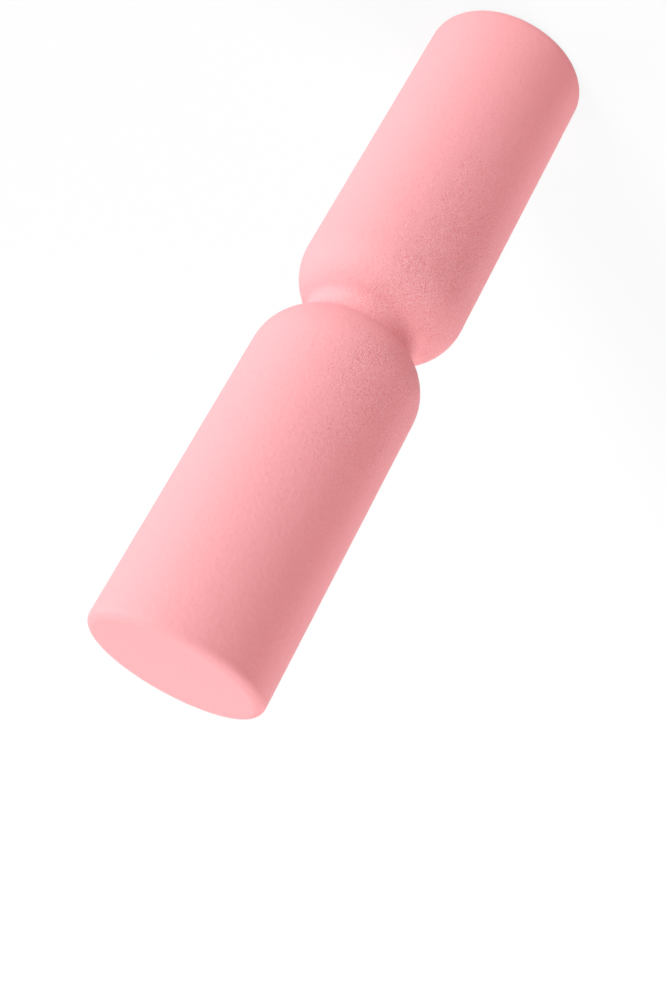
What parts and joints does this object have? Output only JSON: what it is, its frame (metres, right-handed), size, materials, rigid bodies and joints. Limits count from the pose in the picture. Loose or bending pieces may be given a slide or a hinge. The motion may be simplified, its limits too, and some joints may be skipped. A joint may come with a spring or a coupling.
{
  "type": "hourglass foam roller",
  "caption": "Massage roller of dense foam: a long cylinder drawn in at mid length to a narrow round waist, with flat closed ends, over a plugged plastic core pipe.",
  "frame": {"origin": "centre of the end face that the roller stands on, which is the far end face in the picture", "axes": "+Z along the roller's axis towards the other end face; X and Y are alike, because every outer surface is round"},
  "size_m": [0.14, 0.14, 0.61],
  "materials": {
    "eva_foam": "matte",
    "core_pipe": "satin",
    "core_plug": "matte"
  },
  "bodies": {
    "root": {"upper_lobe": "eva_foam", "lower_lobe": "eva_foam", "core_tube": "core_pipe", "upper_core_plug": "core_plug", "lower_core_plug": "core_plug"}
  },
  "joints": []
}
